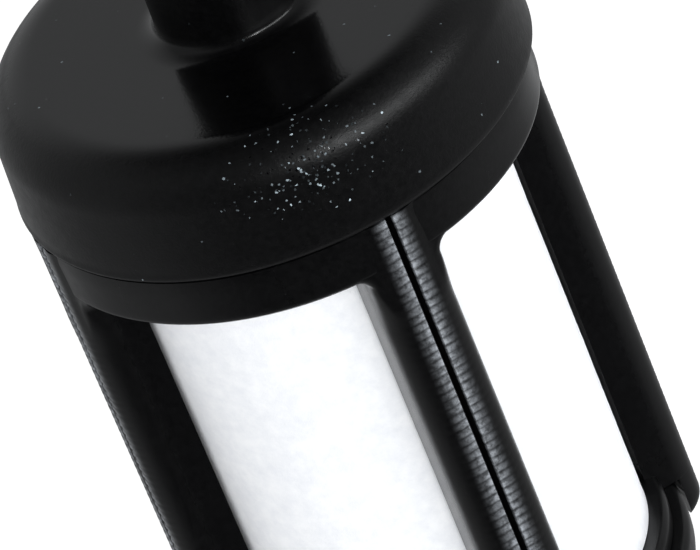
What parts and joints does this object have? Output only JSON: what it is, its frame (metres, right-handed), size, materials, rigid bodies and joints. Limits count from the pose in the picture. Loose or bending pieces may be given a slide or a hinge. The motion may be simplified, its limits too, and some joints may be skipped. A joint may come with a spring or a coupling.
{
  "type": "in-tank fuel filter",
  "caption": "Pick-up fuel filter for a small engine's tank: felt sleeve in a ribbed moulded cage, with a domed cap and a barbed hose nipple.",
  "frame": {"origin": "centre of the bottom cap's foot, on the filter's axis", "axes": "+Z along the filter's axis and out through the hose nipple; +X and +Y through the middle of two windows, with the ribs at 45 degrees between them"},
  "size_m": [0.0186, 0.0186, 0.0375],
  "materials": {
    "cap_plastic": "black nylon, semi-gloss, fine moulded grain",
    "cage_plastic": "black nylon, semi-gloss",
    "foot_plastic": "black nylon, semi-gloss",
    "felt": "white needle felt with a smooth skin",
    "screen_nylon": "white woven nylon screen",
    "core_plastic": "natural nylon, matt",
    "seal_rubber": "black fuel-resistant rubber, matt",
    "sinker_steel": "zinc-plated steel"
  },
  "bodies": {
    "root": {"top_cap": "cap_plastic", "cage": "cage_plastic", "bottom_cap": "foot_plastic", "filter_sleeve": "felt", "fine_screen": "screen_nylon", "support_core": "core_plastic", "upper_seal": "seal_rubber", "lower_seal": "seal_rubber", "sinker_weight": "sinker_steel"}
  },
  "joints": []
}
